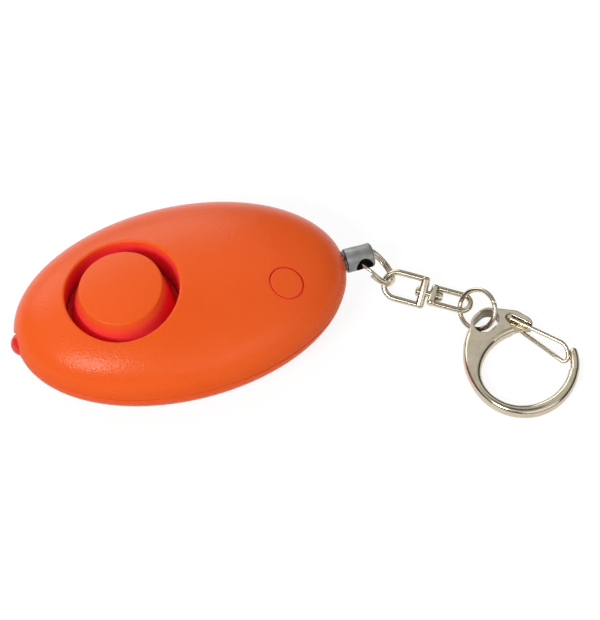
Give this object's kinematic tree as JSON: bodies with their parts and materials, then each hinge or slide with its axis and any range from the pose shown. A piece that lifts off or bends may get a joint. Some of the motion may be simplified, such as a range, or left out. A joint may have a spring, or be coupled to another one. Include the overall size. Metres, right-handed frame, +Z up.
{
  "type": "personal safety alarm",
  "caption": "Key-ring personal alarm: egg-shaped moulded housing with round siren outlet, flush light button, red lamp and a pull pin on a swivel snap clip.",
  "frame": {"origin": "middle of the housing's plan on its flat resting face", "axes": "+X from the lamp end to the pull pin and the clip, +Z up from the resting face through the siren outlet, +Y to the left of +X"},
  "size_m": [0.1121, 0.0648, 0.0211],
  "materials": {
    "shell_orange": "satin moulded",
    "screw_steel": "plated",
    "black_plastic": "matte",
    "brass": "plain",
    "ceramic": "silvered ceramic",
    "lead_sleeve": "insulated wire",
    "board": "solder mask",
    "coil": "ferrite and enamelled wire",
    "chip": "ceramic chips",
    "red_lens": "translucent red",
    "cell_steel": "bright",
    "grey_metal": "satin grey",
    "nickel": "nickel plated"
  },
  "bodies": {
    "housing": {"upper_shell": "shell_orange", "lower_shell": "shell_orange", "battery_door": "shell_orange", "battery_door_screw": "screw_steel", "case_screws": "screw_steel", "siren_plug": "shell_orange", "siren_chamber": "shell_orange", "piezo_disc": "brass", "piezo_ceramic": "ceramic", "piezo_leads": "lead_sleeve", "circuit_board": "board", "driver_chip": "black_plastic", "boost_coil": "coil", "drive_transistor": "black_plastic", "chip_parts": "chip", "switch_body": "screw_steel", "lamp_lens": "red_lens", "lamp_leads": "screw_steel", "button_cell_1": "cell_steel", "button_cell_2": "cell_steel", "button_cell_3": "cell_steel", "battery_contact_positive": "nickel", "battery_contact_negative": "nickel", "pin_socket": "black_plastic", "contact_leaf_left": "brass", "contact_leaf_right": "brass"},
    "light_button": {"light_button": "shell_orange", "switch_plunger": "black_plastic"},
    "pull_pin": {"pin_ferrule": "grey_metal", "pin_stem": "nickel", "pin_collar": "nickel"},
    "split_ring": {"split_ring": "nickel"},
    "swivel_shackle": {"swivel_shackle": "nickel"},
    "swivel_eye": {"swivel_eye": "nickel", "swivel_rivet": "nickel"},
    "jump_ring": {"jump_ring": "nickel"},
    "clip_hook": {"clip_hook": "nickel"},
    "clip_gate": {"clip_gate": "nickel"}
  },
  "joints": [
    {"name": "button_press", "type": "slide", "parent": "housing", "child": "light_button", "axis": [0, 0, -1], "range_m": [0, 0.0006], "stiffness_N_per_m": 400},
    {"name": "pin_pull", "type": "slide", "parent": "housing", "child": "pull_pin", "axis": [1, 0, 0], "range_m": [0, 0.014]},
    {"name": "ring_swing", "type": "hinge", "parent": "pull_pin", "child": "split_ring", "pos_m": [0.03895, 0, 0.0085], "axis": [0, 1, 0], "range_deg": [-40, 20]},
    {"name": "shackle_swing", "type": "hinge", "parent": "split_ring", "child": "swivel_shackle", "pos_m": [0.04398, -0.00469, 0.00295], "axis": [0.4178, 0.701, -0.5779], "range_deg": [-15, 15]},
    {"name": "swivel_spin", "type": "hinge", "parent": "swivel_shackle", "child": "swivel_eye", "pos_m": [0.05031, -0.00909, 0.00289], "axis": [0.825, -0.5649, -0.0175], "continuous": true},
    {"name": "jump_swing", "type": "hinge", "parent": "swivel_eye", "child": "jump_ring", "pos_m": [0.05828, -0.01455, 0.00272], "axis": [0.565, 0.8251, 0], "range_deg": [-10, 10]},
    {"name": "clip_swing", "type": "hinge", "parent": "jump_ring", "child": "clip_hook", "pos_m": [0.05682, -0.01927, 0.0022], "axis": [0.1439, 0.9896, 0], "range_deg": [-10, 10]},
    {"name": "gate_open", "type": "hinge", "parent": "clip_hook", "child": "clip_gate", "pos_m": [0.0651, -0.01975, 0.0014], "axis": [0, 0, 1], "range_deg": [-26, 0], "stiffness_Nm_per_rad": 0.01}
  ]
}
